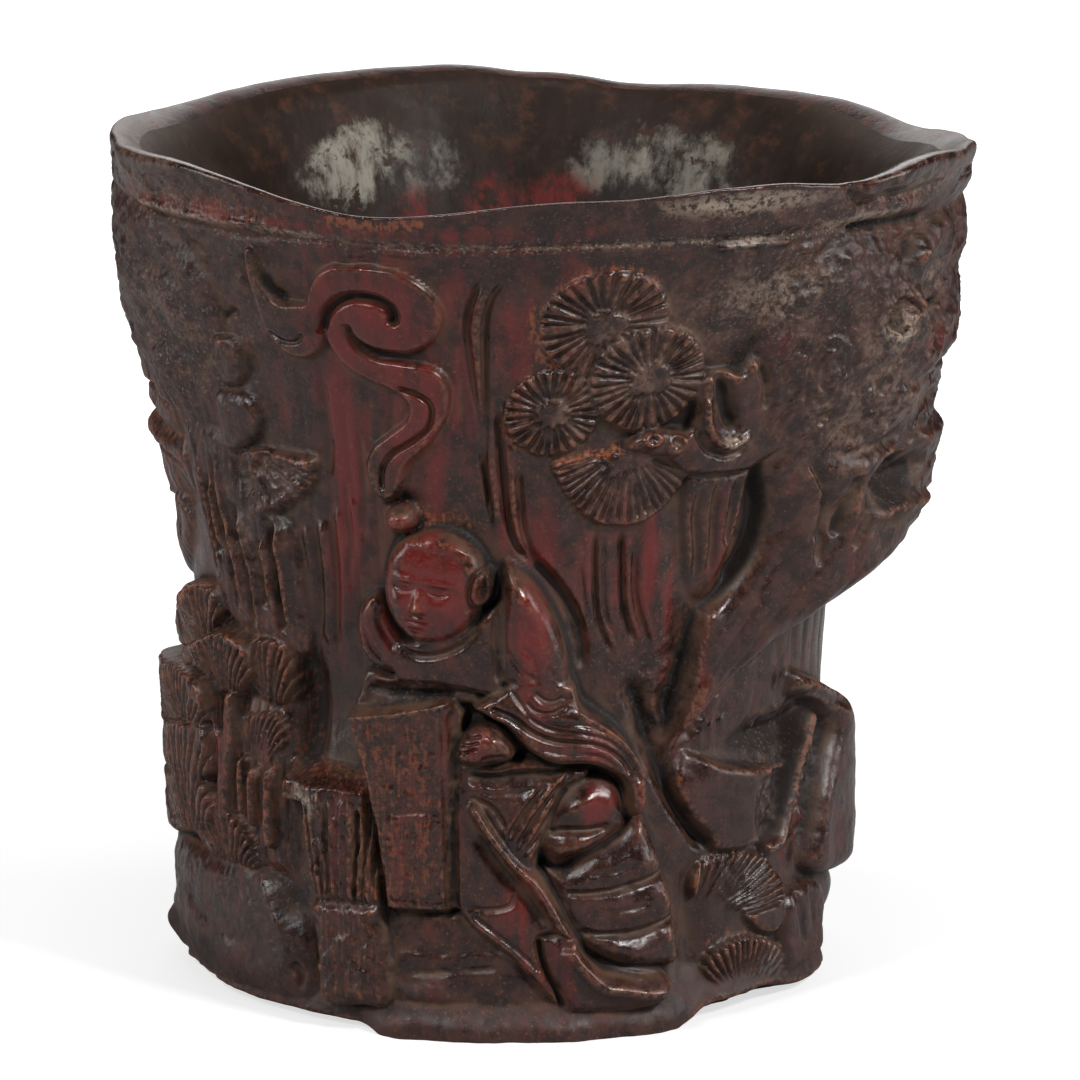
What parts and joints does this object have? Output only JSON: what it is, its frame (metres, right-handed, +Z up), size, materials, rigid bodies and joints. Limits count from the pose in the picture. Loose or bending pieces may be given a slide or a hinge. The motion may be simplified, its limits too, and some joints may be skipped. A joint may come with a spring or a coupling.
{
  "type": "libation cup",
  "caption": "Carved libation cup: flared wall with a wavy leaning lip, let-in floor disc, and relief of a seated reader among pines, rocks, leaves and clouds.",
  "frame": {"origin": "middle of the flat underside, in the plane the cup rests on", "axes": "+Z up out of the mouth, -Y towards the side with the seated reader, +X towards the side the mouth leans to"},
  "size_m": [0.1021, 0.1018, 0.1022],
  "materials": {
    "horn_dark": "dark stained horn, waxed to a semi-gloss, worn orange-brown at the edges",
    "horn_red": "dark red stained horn, handled smooth and semi-gloss",
    "horn_bark": "dark brown stained horn with brown dust in the cuts",
    "horn_floor": "plain scraped horn, satin"
  },
  "bodies": {
    "root": {"back_cloud": "horn_red", "back_crag": "horn_bark", "back_needles_a": "horn_bark", "back_needles_b": "horn_bark", "back_pine_trunk": "horn_bark", "back_rock_left": "horn_bark", "back_rock_right": "horn_bark", "cliff_left": "horn_bark", "cloud_curl": "horn_red", "cloud_stem": "horn_red", "cup_wall": "horn_dark", "facet_rock": "horn_bark", "floor_plug": "horn_floor", "left_knot_lower": "horn_bark", "left_knot_upper": "horn_bark", "left_leaf_1": "horn_bark", "left_leaf_2": "horn_bark", "left_leaf_3": "horn_bark", "left_leaf_4": "horn_bark", "left_leaf_5": "horn_bark", "left_leaf_6": "horn_bark", "left_leaf_7": "horn_bark", "left_needles": "horn_bark", "left_old_trunk": "horn_bark", "left_stems": "horn_bark", "low_rock_left": "horn_bark", "low_rock_right": "horn_bark", "lower_step": "horn_bark", "pillar_rock": "horn_bark", "pine_branch": "horn_bark", "pine_burl": "horn_bark", "pine_crest": "horn_bark", "pine_limb": "horn_bark", "pine_needles_a": "horn_bark", "pine_needles_b": "horn_bark", "pine_needles_c": "horn_bark", "pine_needles_d": "horn_bark", "pine_trunk_high": "horn_bark", "pine_trunk_low": "horn_bark", "reader_book": "horn_red", "reader_collar": "horn_red", "reader_cuff": "horn_red", "reader_far_sleeve": "horn_red", "reader_hand": "horn_red", "reader_head": "horn_red", "reader_knee": "horn_red", "reader_lap": "horn_red", "reader_left_shoulder": "horn_red", "reader_near_sleeve": "horn_red", "reader_right_shoulder": "horn_red", "reader_shoe": "horn_red", "reader_skirt": "horn_red", "reader_topknot": "horn_red", "right_leaf_1": "horn_bark", "right_leaf_2": "horn_bark", "rock_curtain": "horn_bark", "seat_rock": "horn_bark", "tree_stump": "horn_bark", "upper_step": "horn_bark"}
  },
  "joints": []
}
